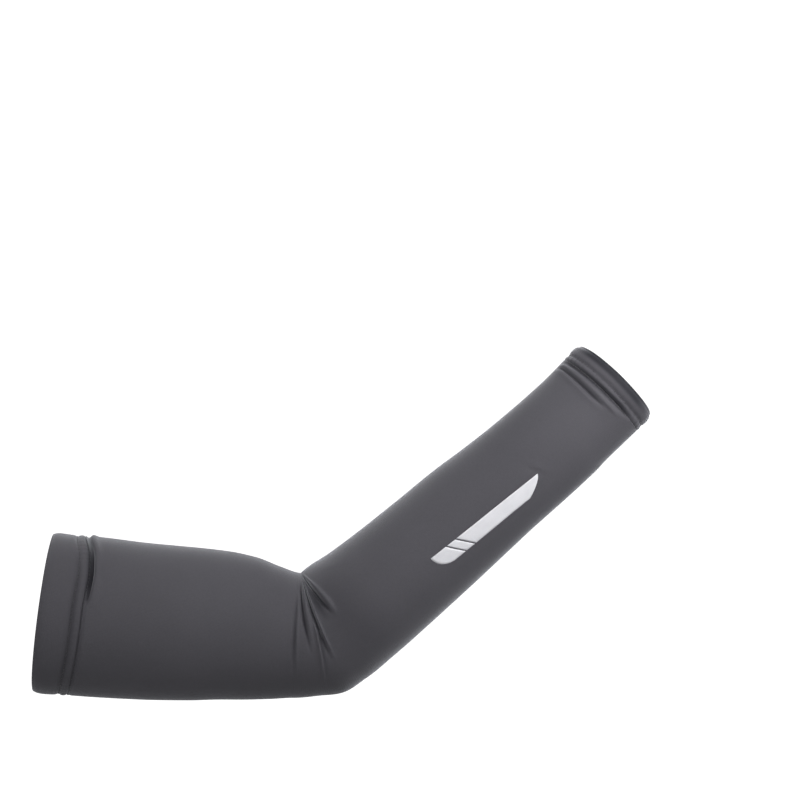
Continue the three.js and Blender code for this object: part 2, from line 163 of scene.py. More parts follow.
# Cross-sections. A row's place is a share of its stretch's run. It reaches up and down by shares of the
# stretch's height, and to each side by a share of its depth.
STRETCH_COLUMNS = ("start", "run", "height", "depth")
STRETCHES = {
    "upper arm": (0, UPPER_RUN, UPPER_ARM_HEIGHT, UPPER_ARM_DEPTH),
    "elbow": (UPPER_RUN, ELBOW_RUN, ELBOW_HEIGHT, ELBOW_DEPTH),
    "forearm": (UPPER_RUN + ELBOW_RUN, FORE_RUN, FOREARM_HEIGHT, FOREARM_DEPTH),
    "wrist": (UPPER_RUN + ELBOW_RUN, FORE_RUN, WRIST_HEIGHT, WRIST_DEPTH),
}
SECTION_COLUMNS = ("stretch", "place", "up", "down", "side")
SECTIONS = [
    ("upper arm", 0, 0.514, 0.499, 0.505),
    ("upper arm", 0.08, 0.504, 0.5, 0.5),
    ("upper arm", 0.18, 0.506, 0.5, 0.5),
    ("upper arm", 0.39, 0.492, 0.494, 0.495),
    ("upper arm", 0.6, 0.487, 0.475, 0.48),
    ("upper arm", 0.71, 0.48, 0.457, 0.47),
    ("upper arm", 0.82, 0.456, 0.444, 0.455),
    ("upper arm", 0.92, 0.408, 0.428, 0.44),
    ("elbow", 0, 0.471, 0.512, 0.5),
    ("elbow", 0.25, 0.482, 0.502, 0.5),
    ("elbow", 0.5, CROOK_SHARE, 0.522, 0.5),
    ("elbow", 0.75, 0.487, 0.494, 0.505),
    ("elbow", 1, 0.488, 0.485, 0.51),
    ("forearm", 0.08, 0.507, 0.543, 0.5),
    ("forearm", 0.17, 0.481, 0.542, 0.49),
    ("forearm", 0.32, 0.454, 0.537, 0.455),
    ("forearm", 0.45, 0.437, 0.528, 0.415),
    ("forearm", 0.56, 0.407, 0.521, 0.38),
    ("forearm", 0.67, 0.387, 0.522, 0.35),
    ("wrist", 0.78, 0.43, 0.586, 0.53),
    ("wrist", 0.84, 0.431, 0.569, 0.505),
    ("wrist", 0.9, 0.442, 0.562, 0.49),
    ("wrist", 1, 0.475, 0.548, 0.5),
]


def smooth(value, low, high):
    """0 below low and 1 above high, with an easy slope between."""
    share = np.clip((value - low) / (high - low), 0, 1)
    return share * share * (3 - 2 * share)


def hump(offset):
    """A smooth hill, 1 high at offset 0."""
    return np.exp(-offset * offset)


def curve_through(places, values):
    """A smooth curve through the rows that never overshoots them."""
    places = np.array(places, float)
    values = np.array(values, float)
    slopes = np.diff(values) / np.diff(places)
    before = np.concatenate([slopes[:1], slopes])
    after = np.concatenate([slopes, slopes[-1:]])
    total = before + after
    agree = before * after > 0
    tangents = np.where(agree, 2 * before * after / np.where(agree, total, 1), 0)

    def at(place):
        i = np.clip(np.searchsorted(places, place, side="left") - 1, 0, len(places) - 2)
        gap = places[i + 1] - places[i]
        t = np.clip((place - places[i]) / gap, 0, 1)
        u = 1 - t
        start = values[i] * u * u * (1 + 2 * t) + tangents[i] * gap * t * u * u
        end = values[i + 1] * t * t * (1 + 2 * u) - tangents[i + 1] * gap * t * t * u
        return start + end

    return at


def sections_curve(column, size):
    """A curve along the sleeve of one column of the sections, as shares of the stretches' size."""
    places = []
    values = []
    for row in SECTIONS:
        section = dict(zip(SECTION_COLUMNS, row))
        stretch = dict(zip(STRETCH_COLUMNS, STRETCHES[section["stretch"]]))
        places.append(stretch["start"] + section["place"] * stretch["run"])
        values.append(section[column] * stretch[size])
    return curve_through(places, values)


up_at = sections_curve("up", "height")
down_at = sections_curve("down", "height")
side_at = sections_curve("side", "depth")


def girth_radius(along):
    """The mean distance from the middle line to the cloth."""
    return (up_at(along) + down_at(along) + 2 * side_at(along)) / 4


def heading(angle):
    """The way along an arm that rises by the angle."""
    angle = np.asarray(angle, float)
    return np.stack([np.cos(angle), np.zeros_like(angle), np.sin(angle)], -1)


def crookward(angle):
    """The way from such an arm towards the crook's side, square to it."""
    return heading(np.asarray(angle, float) + TAU / 4)


ELBOW_START = heading(-UPPER_ARM_DIP) * UPPER_RUN
PIVOT = ELBOW_START + crookward(-UPPER_ARM_DIP) * ELBOW_RADIUS
FOLD_MIDDLE = ELBOW_BEND / 2 - UPPER_ARM_DIP
CROOK = PIVOT - crookward(FOLD_MIDDLE) * CROOK_RADIUS


def turned_from(middle, around):
    """The angle from middle to around, from half a turn back to half a turn on."""
    return np.mod(around - middle + TAU / 2, TAU) - TAU / 2


def within(around, start, end, fade):
    """1 inside a range of angles round the sleeve, fading to 0 over fade outside it, all in degrees."""
    away = np.abs(turned_from((start + end) / 2 * DEGREE, around))
    return 1 - smooth(away - (end - start) / 2 * DEGREE, 0, fade * DEGREE)


def leaned_along(base, around):
    """The rims lean and bow along the arm, less and less towards the elbow."""
    upper_share = np.clip(1 - base / UPPER_RUN, 0, 1)
    wrist_share = np.clip(1 - (SLEEVE_RUN - base) / FORE_RUN, 0, 1)
    sewn_share = smooth(base, 0, UPPER_HEM_WIDTH) * (1 - smooth(base, UPPER_HEM_WIDTH, UPPER_RUN / 2))
    upper_lean = upper_share * UPPER_RIM_LEAN * np.cos(around)
    upper_bow = UPPER_HEM_BOW * np.maximum(np.sin(around), 0) ** BOW_POWER
    upper_bow = sewn_share * (upper_bow + UPPER_SLACK_BOW * within(around, *UPPER_SLACK_ARC))
    wrist_bow = WRIST_RIM_BOW * (1 - WRIST_BOW_LOSS * smooth(SLEEVE_RUN - base, 0, WRIST_HEM_WIDTH))
    wrist_lean = wrist_bow * np.sin(around) - WRIST_RIM_LEAN * np.cos(around)
    return base + upper_lean + upper_bow + wrist_share * wrist_lean


def skin(base, around, lift=0.0):
    """Points on the sleeve. around starts at the crook side and passes the -Y side first."""
    base, around, lift = np.broadcast_arrays(*(np.asarray(x, float) for x in (base, around, lift)))
    along = leaned_along(base, around)
    angle = np.clip((along - UPPER_RUN) / ELBOW_RADIUS, 0, ELBOW_BEND) - UPPER_ARM_DIP
    past = np.maximum(along - UPPER_RUN - ELBOW_RUN, 0)[..., None]
    bent = PIVOT - crookward(angle) * ELBOW_RADIUS + heading(angle) * past
    centre = np.where(along[..., None] < UPPER_RUN, heading(-UPPER_ARM_DIP) * along[..., None], bent)
    half = np.where(np.cos(around) > 0, up_at(along), down_at(along))
    points = centre + crookward(angle) * ((half + lift) * np.cos(around))[..., None]
    points[..., 1] = -(side_at(along) + lift) * np.sin(around)
    return points


# A fold is narrow at its root and has its whole width further out. It rises over a distance from just
# before its start, and fades from a share of its reach.
FOLD_ROOT_SHIFT = 1.5
FOLD_ROOT = CROOK - heading(FOLD_MIDDLE) * FOLD_ROOT_SHIFT
FOLD_ROOT_WIDTH = 0.3
FOLD_WIDENING = 28
FOLD_RISES_BEFORE = 2
FOLD_RISEN_AFTER = 7
FOLD_FADES_FROM = 0.55

# Folds that fan out from the crook. Angles are in degrees from the line that halves the bend, towards
# the forearm, at the fold's root and its tip. Reaches are from the crook.
FOLD_COLUMNS = ("root", "tip", "start", "reach", "width", "rise")
NEAR_FOLDS = [
    (-29, -22.5, 12, 62, 1.1, -0.8),
    (-26, -20.5, 12, 62, 0.9, 0.5),
    (-60, -28, 3, 11, 0.6, -0.5),
    (-20, -10.5, 5, 48, 0.9, -1.4),
    (-11.5, -7.5, 4, 44, 1.2, 0.8),
    (-3, 1.5, 2, 55, 0.8, -1.6),
    (0.4, 4.2, 3, 57, 0.7, 1.3),
    (-0.5, -7, 26, 72, 0.75, 0.9),
    (1.5, -5.2, 34, 68, 0.8, -0.7),
    (10, 11, 6, 32, 2.4, -0.9),
    (21, 20.5, 1, 29, 1.0, -2.1),
    (36, 25, 2, 32, 1.7, 1.4),
    (31, 27, 10, 78, 14.0, -0.5),
]
FAR_FOLDS = [
    (-27, -25, 5, 46, 1.5, -0.6),
    (-21, -20, 8, 52, 1.4, 0.6),
    (-14, -13, 3, 54, 1.7, -1.3),
    (-7, -6, 6, 50, 1.5, 1.0),
    (-1, -2, 2, 44, 1.4, -1.3),
    (5, 4, 3, 56, 1.3, 1.2),
    (12, 10, 6, 40, 1.8, -1.0),
    (19, 18, 3, 30, 1.5, 0.7),
    (25, 26, 2, 36, 1.7, -1.2),
    (33, 32, 4, 32, 2.2, 0.9),
]


def elbow_folds(base, around):
    """How far the folds stand above the cloth, each by its distance and its turn from the crook."""
    away = skin(base, around) - FOLD_ROOT
    depth = -away @ crookward(FOLD_MIDDLE)
    side = away @ heading(FOLD_MIDDLE)
    reached = np.hypot(depth, side)
    turned = np.arctan2(side, depth)
    near = np.sin(around) > 0
    lift = np.zeros_like(reached)
    for here, folds in ((near, NEAR_FOLDS), (~near, FAR_FOLDS)):
        for row in folds:
            fold = dict(zip(FOLD_COLUMNS, row))
            share = np.clip(reached / fold["reach"], 0, 1)
            middle = (fold["root"] + (fold["tip"] - fold["root"]) * share) * DEGREE
            widened = np.clip(FOLD_ROOT_WIDTH + reached / FOLD_WIDENING, FOLD_ROOT_WIDTH, 1)
            width = fold["width"] * widened
            start = fold["start"]
            ends = smooth(reached, start - FOLD_RISES_BEFORE, start + FOLD_RISEN_AFTER)
            ends = ends * (1 - smooth(reached, FOLD_FADES_FROM * fold["reach"], fold["reach"]))
            offset = reached * np.sin(turned - middle) / width
            lift += here * fold["rise"] * ends * hump(offset)
    return lift * smooth(depth, 0, 3) * smooth(np.abs(np.sin(around)), 0.02, 0.2)


# Rings of slack cloth beside the hems: the distance from the sewn edge where the arc starts and where
# it ends, the width, the rise, and the arc and its fade in degrees
UPPER_RINGS = [
    (1.5, 1.5, 1.1, -4.0, 6, 60, 20),
    (4.8, 4.8, 2.4, 1.2, 6, 60, 20),
    (1.0, 1.0, 0.9, -0.25, 0, 360, 10),
]
WRIST_RINGS = [
    (1.0, -0.4, 1.55, -1.7, 34, 112, 30),
    (3.5, 3.9, 1.3, 0.7, 32, 100, 30),
    (5.9, 6.9, 0.9, -1.3, 24, 84, 22),
    (8.2, 9.5, 1.8, 0.35, 26, 80, 30),
    (1.0, 1.0, 1.2, -0.4, 205, 300, 30),
    (2.6, 2.6, 1.4, 0.3, 215, 300, 30),
]


def slack_rings(out, around, rings):
    """The rings' lift at distances out from a sewn edge."""
    turned = np.mod(around, TAU) / DEGREE
    lift = 0
    for first, last, width, rise, start, end, fade in rings:
        place = first + (last - first) * np.clip((turned - start) / (end - start), 0, 1)
        lift = lift + rise * hump((out - place) / width) * within(around, start, end, fade)
    return lift


def wrist_slack(base, around):
    """The slack beside the wrist hem alone."""
    return slack_rings(TUBE_END - base, around, WRIST_RINGS)


def hem_slack(base, around):
    """The slack beside both hems. At the upper hem it starts at the sewn edge."""
    out = base - TUBE_START
    return slack_rings(out, around, UPPER_RINGS) * smooth(out, 0, 0.5) + wrist_slack(base, around)


def seam_ridge(base, around):
    """The seam shows as a thin groove, with the allowance raising the cloth on one side of it.

    Near the wrist it is gathered: uneven puckers cross it and spill a little to both sides.
    """
    across = turned_from(SEAM_AROUND, around) * girth_radius(base)
    over = smooth(across, -0.5 * SEAM_WIDTH, -0.3 * SEAM_WIDTH)
    over = over * (1 - smooth(across, 0.3 * SEAM_WIDTH, 0.6 * SEAM_WIDTH))
    groove = -SEAM_GROOVE * hump((across + 0.5 * SEAM_WIDTH) / SEAM_GROOVE_WIDTH)
    from_hem = TUBE_END - base
    gathered = 1 - smooth(from_hem, PUCKERS_WHOLE, PUCKERS_GONE)
    wave = gathered * np.cos(TAU * from_hem / PUCKER_PITCH + 0.9 * np.sin(from_hem / 13))
    pucker = PUCKER_RISE * wave * (0.8 + 0.2 * np.sin(from_hem / 5.3))
    spill = hump(across / (1.25 * SEAM_WIDTH)) * (1 - over) * PUCKER_SPILL * wave
    ends = smooth(from_hem, 0, 3) * smooth(base - TUBE_START, 0, 3)
    return (over * (SEAM_RISE + pucker) + groove + spill) * ends


# Small dents in the taut cloth: distance along, angle round in degrees, length, width, turn in degrees, rise
DENTS = [
    (253, 66, 5, 1.6, 12, -0.22),
    (321, 104, 5, 1.3, 62, -0.35),
    (324, 104, 5, 1.6, 62, 0.2),
    (60, 120, 22, 9, 5, -0.2),
    (96, 78, 26, 10, -8, 0.2),
    (215, 130, 20, 9, 20, -0.2),
    (238, 60, 28, 9, -12, 0.18),
    (292, 62, 24, 8, 8, -0.15),
    (120, 250, 26, 9, 10, -0.25),
    (205, 285, 22, 7, -15, 0.25),
    (260, 240, 30, 9, 8, -0.2),
]


def taut_dents(base, around):
    """The lift of all the dents, each turned within the cloth's surface."""
    lift = 0
    for place, angle, length, width, turn, rise in DENTS:
        along = base - place
        across = turned_from(angle * DEGREE, around) * girth_radius(base)
        run = along * math.cos(turn * DEGREE) + across * math.sin(turn * DEGREE)
        off = across * math.cos(turn * DEGREE) - along * math.sin(turn * DEGREE)
        lift = lift + rise * hump(run / length) * hump(off / width)
    return lift


def relief(base, around):
    """How far the loose cloth stands above the smooth sleeve."""
    return (
        elbow_folds(base, around)
        + hem_slack(base, around)
        + seam_ridge(base, around)
        + taut_dents(base, around)
    )


def spaced(*stretches):
    """Rising places: each stretch is (start, end, step), and one starts where the last ended."""
    places = [np.array([stretches[0][0]], float)]
    for start, end, step in stretches:
        count = max(int(round((end - start) / step)), 1)
        places.append(np.linspace(start, end, count + 1)[1:])
    return np.concatenate(places)


# Meshes


def piece(name, points, faces, material, uvs=None):
    """A mesh object at the origin from points in millimetres, with its cloth coordinates if it has them."""
    mesh = bpy.data.meshes.new(name)
    mesh.from_pydata((np.asarray(points).reshape(-1, 3) * MM).tolist(), [], faces.tolist())
    if uvs is not None:
        layer = mesh.uv_layers.new(name="cloth")
        layer.data.foreach_set("uv", uvs.reshape(-1, 2).astype(np.float32).ravel())
    mesh.polygons.foreach_set("use_smooth", [True] * len(mesh.polygons))
    mesh.materials.append(material)
    mesh.update()
    made = bpy.data.objects.new(name, mesh)
    bpy.context.scene.collection.objects.link(made)
    return made


def loop_solid(name, grid, lengths, girths, material):
    """A closed wall from a grid of profile rows by columns round the sleeve; rows and columns both close."""
    rows, columns = grid.shape[:2]
    i = np.arange(rows)[:, None]
    j = np.arange(columns)[None, :]
    corners = [(i, j), (i, j + 1), (i + 1, j + 1), (i + 1, j)]
    faces = np.stack([(a % rows) * columns + b % columns + 0 * (i + j) for a, b in corners], -1)
    lengths = np.append(lengths, lengths[0])
    uvs = np.stack(
        [np.stack([lengths[a] + 0.0 * b, girths[a % rows] * b / columns], -1) for a, b in corners], -2
    )
    return piece(name, grid, faces.reshape(-1, 4), material, uvs * MM)


ROUND_COLUMNS = 210


def columns_round():
    """Angles round the sleeve, starting in the seam, where the knit's columns meet."""
    return SEAM_AROUND + TAU * np.arange(ROUND_COLUMNS) / ROUND_COLUMNS


def wall(name, bases, lifts, loose, material, flip=False):
    """A closed wall whose profile is given by bases and lifts, with loose(base, around) added to the lift."""
    around = columns_round()[None, :]
    bases = np.asarray(bases, float)[:, None]
    lifts = np.asarray(lifts, float)[:, None]
    grid = skin(bases, around, lifts + loose(bases, around))
    lengths = bases[:, 0]
    girths = TAU * girth_radius(bases[:, 0])
    # The painted shade of each point, kept as the shade attribute
    shades = painted_shade_share(bases, around)
    if flip:
        grid, lengths, girths, shades = grid[::-1], lengths[::-1], girths[::-1], shades[::-1]
    made = loop_solid(name, grid, lengths, girths, material)
    shade = made.data.attributes.new("shade", "FLOAT", "POINT")
    shade.data.foreach_set("value", shades.astype(np.float32).ravel())
    return made


# The share of painted shade, a darkening of the knit's colour, in each place, and the dip that has the whole
# of it
RIM_SHADE = 0.85
CREASE_SHADE = 0.9
NEEDLE_ROW_SHADE = 0.3
FOLD_SHADE = 0.7
RING_SHADE = 0.5
DEEPEST_SHADE = 0.9
DEEP_FOLD = 1.5
DEEP_RING = 1.6

# Where it does so: arcs in degrees with their fades, and distances from the rim and the sewn edge
RIM_ARC = (42, 120, 34)
RIM_SHADE_WHOLE = 3.2
RIM_SHADE_GONE = 5.6
CREASE_ARC = (-5, 57, 18)
CREASE_PLACE = 0.8
CREASE_WIDTH = 1.9


def painted_shade_share(base, around):
    """How much painted shade darkens the knit, 0 to 1: a painted shadow in the rolled wrist rim, and painted
    shade in the needle rows and the creases.
    """
    out = base - TUBE_START
    # Painted shadow in a band inside the wrist rim, and painted shade in the crease by the upper hem, the
    # needle rows, the elbow folds and the wrist rings
    rim = 1 - smooth(SLEEVE_RUN - base, RIM_SHADE_WHOLE, RIM_SHADE_GONE)
    rim = rim * within(around, *RIM_ARC)
    crease = hump((out - CREASE_PLACE) / CREASE_WIDTH) * within(around, *CREASE_ARC)
    rows = hump(out / 1.3) + hump((out + UPPER_NEEDLE_SPACING) / 1.5)
    rows = rows * smooth(np.sin(around - 20 * DEGREE), 0.0, 0.8)
    folds = np.clip(-elbow_folds(base, around) / DEEP_FOLD, 0, 1)
    rings = np.clip(-wrist_slack(base, around) / DEEP_RING, 0, 1)
    shade = RIM_SHADE * rim + CREASE_SHADE * crease + NEEDLE_ROW_SHADE * rows
    shade = shade + FOLD_SHADE * folds + RING_SHADE * rings
    return np.clip(shade, 0, DEEPEST_SHADE)


def tube(material):
    """The knit tube: rows stand close together beside the hems and in the folds, and wide apart elsewhere."""
    crease_end = TUBE_START + 7
    slack_end = TUBE_START + 14
    folds_start = UPPER_RUN - 15
    folds_end = UPPER_RUN + 1.25 * ELBOW_RUN
    rings_start = TUBE_END - 14
    outer = spaced(
        (TUBE_START, crease_end, 0.35),
        (crease_end, slack_end, 0.8),
        (slack_end, folds_start, 1.6),
        (folds_start, folds_end, 0.42),
        (folds_end, rings_start, 1.5),
        (rings_start, TUBE_END, 0.45),
    )
    inner = spaced(
        (TUBE_START, folds_start, 8),
        (folds_start, folds_end, 2.2),
        (folds_end, rings_start, 10),
        (rings_start, TUBE_END, 2),
    )[::-1]
    bases = np.concatenate([outer, inner])
    lifts = np.concatenate([np.zeros(len(outer)), np.full(len(inner), -CLOTH)])
    return wall("knit_tube", bases, lifts, relief, material)


# Hems. From the rim: a rounded fold, a band that swells a little, and two needle rows


def hem_profile(width, spacing, roll, groove):
    """(distance from the rim, lift) pairs from the sewn edge round the fold to the turned-in edge."""
    inner = -2 * CLOTH - HEM_GAP
    first_row = width - spacing
    rows_start = first_row - 1.8
    outside = spaced((HEM_FOLD, rows_start, 0.6), (rows_start, width, 0.3))[::-1]
    rolled = -roll * np.exp(-((outside - HEM_FOLD) / ROLL_REACH))
    swell = HEM_SWELL * np.sin(np.pi * np.clip(outside / first_row, 0, 1))
    rows = hump((outside - first_row) / ROW_GROOVE_WIDTH) + hump((outside - width) / SEWN_GROOVE_WIDTH)
    between = BETWEEN_ROWS * np.sin(np.pi * np.clip((outside - first_row) / spacing, 0, 1))
    profile = list(zip(outside, rolled + swell - groove * rows + between))
    fold_top = profile[-1][1]
    for turn in np.linspace(0, math.pi, 9)[1:-1]:
        middle = (fold_top + inner) / 2
        out = HEM_FOLD - HEM_FOLD * math.sin(turn)
        profile.append((out, middle + (fold_top - inner) / 2 * math.cos(turn)))
    inside = spaced((HEM_FOLD, width, 1.4), (width, width + HEM_LAP, 0.5))
    profile += [(place, inner) for place in inside]
    profile += [(width + HEM_LAP, inner + 0.5 * CLOTH)]
    profile += [(place, inner + CLOTH) for place in spaced((width, width + HEM_LAP, 0.5))[::-1]]
    return np.array(profile)


def hem_ripple(first_row, width, from_rim, around, base):
    """Short puckers along the needle rows, and slower waves in the band."""
    arc = around * girth_radius(base)
    sewn = smooth(from_rim, first_row - 2.5, first_row) * (1 - smooth(from_rim, width - 0.2, width + 0.4))
    patchy = 0.6 + 0.4 * np.sin(arc / 7 + 2 * np.sin(arc / 17))
    puckers = FINE_PUCKER * patchy * np.cos(TAU * arc / FINE_PITCH)
    puckers = puckers + WIDE_PUCKER * np.cos(TAU * arc / WIDE_PITCH + 1.0)
    waves = BAND_WAVE * np.sin(3 * around + 0.7) * np.sin(5 * around + 2.1)
    return sewn * puckers + waves * (1 - smooth(from_rim, 0, first_row))


def hem(name, width, spacing, roll, groove, place, material, flip):
    """One hem as a closed wall. place turns distances from its rim into places along the sleeve."""
    profile = hem_profile(width, spacing, roll, groove)

    def loose(base, around):
        from_rim = profile[:, 0][:, None]
        seam = seam_step(around, base) * smooth(from_rim, 0, 2)
        ripple = hem_ripple(width - spacing, width, from_rim, around, base)
        return ripple + seam + hem_slack(base, around)

    return wall(name, place(profile[:, 0]), profile[:, 1], loose, material, flip)


def seam_step(around, base):
    """The lengthwise seam runs on through the hem as a groove beside a slight rise."""
    across = turned_from(SEAM_AROUND, around) * girth_radius(base)
    groove = -HEM_SEAM_GROOVE * hump((across + 0.5 * SEAM_WIDTH) / HEM_SEAM_GROOVE_WIDTH)
    return groove + HEM_SEAM_RISE * hump((across - 0.1 * SEAM_WIDTH) / HEM_SEAM_RISE_WIDTH)


def from_upper_rim(distance):
    return distance


def from_wrist_rim(distance):
    return SLEEVE_RUN - distance


# The seam allowance inside the tube: shares of its width across, and drops from its top
ALLOWANCE_SECTION = [
    (-0.45, 0),
    (-0.47, 0.6),
    (-0.36, 1.1),
    (-0.12, SEAM_THICKNESS),
    (0.14, SEAM_THICKNESS),
    (0.36, 1.1),
    (0.47, 0.6),
    (0.45, 0),
]
ALLOWANCE_GAP = 0.1
ALLOWANCE_STEP = 1.6


def seam_allowance(material):
    """A strip of eight corners across, from hem to hem, that follows the tube's relief."""
    places = spaced((TUBE_START + HEM_LAP + 0.4, TUBE_END - HEM_LAP - 0.4, ALLOWANCE_STEP))
    top = -CLOTH - ALLOWANCE_GAP
    rows = []
    for share, drop in ALLOWANCE_SECTION:
        around = SEAM_AROUND + share * SEAM_WIDTH / girth_radius(places)
        rows.append(skin(places, around, top - drop + relief(places, around)))
    grid = np.stack(rows)
    count, across = grid.shape[:2]
    i = np.arange(count)[:, None]
    j = np.arange(across - 1)[None, :]
    corners = [(i, j), (i + 1, j), (i + 1, j + 1), (i, j + 1)]
    faces = np.stack([(a % count) * across + b + 0 * (i + j) for a, b in corners], -1).reshape(-1, 4)
    uvs = np.stack([np.stack([places[b] + 0.0 * a, a * 1.5 + 0.0 * b], -1) for a, b in corners], -2)
    made = piece("seam_allowance_strip", grid, faces, material, uvs * MM)
    close_ends(made)
    return made


def close_ends(made):
    """Caps the open loops of a mesh and turns all its faces outwards."""
    work = bmesh.new()
    work.from_mesh(made.data)
    edges = [edge for edge in work.edges if edge.is_boundary]
    bmesh.ops.holes_fill(work, edges=edges, sides=0)
    bmesh.ops.recalc_face_normals(work, faces=work.faces)
    work.to_mesh(made.data)
    work.free()


# Print. Each field runs between two end lines, given as places along the print for a share of its height


def rounded_tail(share):
    return TAIL_TIP * (1 - np.sqrt(1 - TAIL_TIP_ROUNDING * share * share))


def swept_end(share):
    return PRINT_LENGTH - STRIP_TIP * share**STRIP_TIP_POWER


def slit_line(place):
    """The slanting line of a slit's edge, which crosses the print's top edge at place."""
    return lambda share: place + share * PRINT_SLANT


def print_point(along, share, lift):
    """Points of the print, along it and down it by a share of its height, lifted off the cloth."""
    middle = UPPER_RUN + ELBOW_RUN + PRINT_FROM_ELBOW - BEND_SETBACK
    down = (share - 0.5) * PRINT_HEIGHT
    along = along - PRINT_LENGTH / 2
    base = middle + along * math.cos(PRINT_TILT) + down * math.sin(PRINT_TILT)
    across = down * math.cos(PRINT_TILT) - along * math.sin(PRINT_TILT)
    around = PRINT_AROUND + across / girth_radius(middle)
    return skin(base, around, lift + relief(base, around))


def print_field(name, start_line, end_line, material):
    """A thin film between two end lines: a top sheet, a bottom sheet in the cloth, and a side round them."""
    rows = FILM_ROWS
    steps = max(int((end_line(0) - start_line(0)) / FILM_STEP), 8)
    share = np.linspace(0, 1, rows + 1)[:, None]
    run = np.linspace(0, 1, steps + 1)[None, :]
    along = start_line(share) + (end_line(share) - start_line(share)) * run
    edge = np.minimum(np.minimum(share, 1 - share) * rows, np.minimum(run, 1 - run) * steps)
    lift = FILM_CLEARANCE + PRINT_FILM * np.clip(edge, 0, 1) ** 0.5
    top = print_point(along, share, lift)
    bottom = print_point(along, share, FILM_FOOT + 0 * lift)
    columns = steps + 1
    i = np.arange(rows)[:, None]
    j = np.arange(steps)[None, :]
    corners = [(i, j), (i + 1, j), (i + 1, j + 1), (i, j + 1)]
    upper = np.stack([a * columns + b for a, b in corners], -1).reshape(-1, 4)
    below = (rows + 1) * columns
    lower = upper[:, ::-1] + below
    ring = [(0, j) for j in range(columns)] + [(i, columns - 1) for i in range(1, rows + 1)]
    ring += [(rows, j) for j in range(columns - 2, -1, -1)] + [(i, 0) for i in range(rows - 1, 0, -1)]
    edge_ids = np.array([i * columns + j for i, j in ring])
    after = np.roll(edge_ids, -1)
    sides = np.stack([edge_ids, after, after + below, edge_ids + below], -1)
    faces = np.concatenate([upper, lower, sides])
    points = np.concatenate([top.reshape(-1, 3), bottom.reshape(-1, 3)])
    flat = np.stack([(along + 0 * share).ravel(), (share * PRINT_HEIGHT + 0 * run).ravel()], -1)
    flat = np.concatenate([flat, flat])
    made = piece(name, points, faces, material, flat[faces] * MM)
    close_ends(made)
    return made


# Stitches, made by Geometry Nodes along paths on the cloth


def path_object(name, points, closed):
    """A mesh of edges alone, for a tree to grow threads on."""
    count = len(points)
    edges = [(i, i + 1) for i in range(count - 1)]
    if closed:
        edges.append((count - 1, 0))
    mesh = bpy.data.meshes.new(name)
    mesh.from_pydata((points * MM).tolist(), edges, [])
    made = bpy.data.objects.new(name, mesh)
    bpy.context.scene.collection.objects.link(made)
    return made


def new_tree(name, sizes):
    """A Geometry Nodes tree with a geometry in and out, and the named sizes as inputs."""
    tree = bpy.data.node_groups.new(name, "GeometryNodeTree")
    tree.interface.new_socket("Geometry", in_out="INPUT", socket_type="NodeSocketGeometry")
    for size in sizes:
        tree.interface.new_socket(size, in_out="INPUT", socket_type="NodeSocketFloat")
    tree.interface.new_socket("Material", in_out="INPUT", socket_type="NodeSocketMaterial")
    tree.interface.new_socket("Geometry", in_out="OUTPUT", socket_type="NodeSocketGeometry")
    return tree, tree.nodes.new("NodeGroupInput"), tree.nodes.new("NodeGroupOutput")


def finish_tree(tree, given, geometry, result):
    """Realizes what repeats, smooths it and gives it its material."""
    realize = tree.nodes.new("GeometryNodeRealizeInstances")
    shade = tree.nodes.new("GeometryNodeSetShadeSmooth")
    dress = tree.nodes.new("GeometryNodeSetMaterial")
    tree.links.new(geometry, realize.inputs[0])
    tree.links.new(realize.outputs[0], shade.inputs[0])
    tree.links.new(shade.outputs[0], dress.inputs["Geometry"])
    tree.links.new(given.outputs["Material"], dress.inputs["Material"])
    tree.links.new(dress.outputs[0], result.inputs[0])
    return tree


def stitch_tree():
    """Short threads laid end to end along a path."""
    tree, given, result = new_tree("needle stitches", ["Pitch", "Thread", "Stitch"])
    link = tree.links.new
    curve = tree.nodes.new("GeometryNodeMeshToCurve")
    spread = tree.nodes.new("GeometryNodeResampleCurve")
    spread.mode = "LENGTH"
    tangent = tree.nodes.new("GeometryNodeInputTangent")
    align = tree.nodes.new("FunctionNodeAlignRotationToVector")
    align.axis = "X"
    thread = tree.nodes.new("GeometryNodeMeshUVSphere")
    thread.inputs["Segments"].default_value = THREAD_SEGMENTS
    thread.inputs["Rings"].default_value = THREAD_RINGS
    thread.inputs["Radius"].default_value = 0.5
    shape = tree.nodes.new("ShaderNodeCombineXYZ")
    place = tree.nodes.new("GeometryNodeInstanceOnPoints")
    link(given.outputs["Geometry"], curve.inputs["Mesh"])
    link(curve.outputs[0], spread.inputs["Curve"])
    link(given.outputs["Pitch"], spread.inputs["Length"])
    link(tangent.outputs[0], align.inputs["Vector"])
    link(given.outputs["Stitch"], shape.inputs["X"])
    link(given.outputs["Thread"], shape.inputs["Y"])
    link(given.outputs["Thread"], shape.inputs["Z"])
    link(spread.outputs[0], place.inputs["Points"])
    link(thread.outputs["Mesh"], place.inputs["Instance"])
    link(align.outputs[0], place.inputs["Rotation"])
    link(shape.outputs[0], place.inputs["Scale"])
    return finish_tree(tree, given, place.outputs[0], result)


def looper_tree():
    """One thread that follows a path."""
    tree, given, result = new_tree("looper thread", ["Thread"])
    link = tree.links.new
    curve = tree.nodes.new("GeometryNodeMeshToCurve")
    radius = tree.nodes.new("ShaderNodeMath")
    radius.operation = "MULTIPLY"
    radius.inputs[1].default_value = 0.5
    section = tree.nodes.new("GeometryNodeCurvePrimitiveCircle")
    section.inputs["Resolution"].default_value = LOOPER_SIDES
    sweep = tree.nodes.new("GeometryNodeCurveToMesh")
    link(given.outputs["Geometry"], curve.inputs["Mesh"])
    link(given.outputs["Thread"], radius.inputs[0])
    link(radius.outputs[0], section.inputs["Radius"])
    link(curve.outputs[0], sweep.inputs["Curve"])
    link(section.outputs[0], sweep.inputs["Profile Curve"])
    return finish_tree(tree, given, sweep.outputs[0], result)


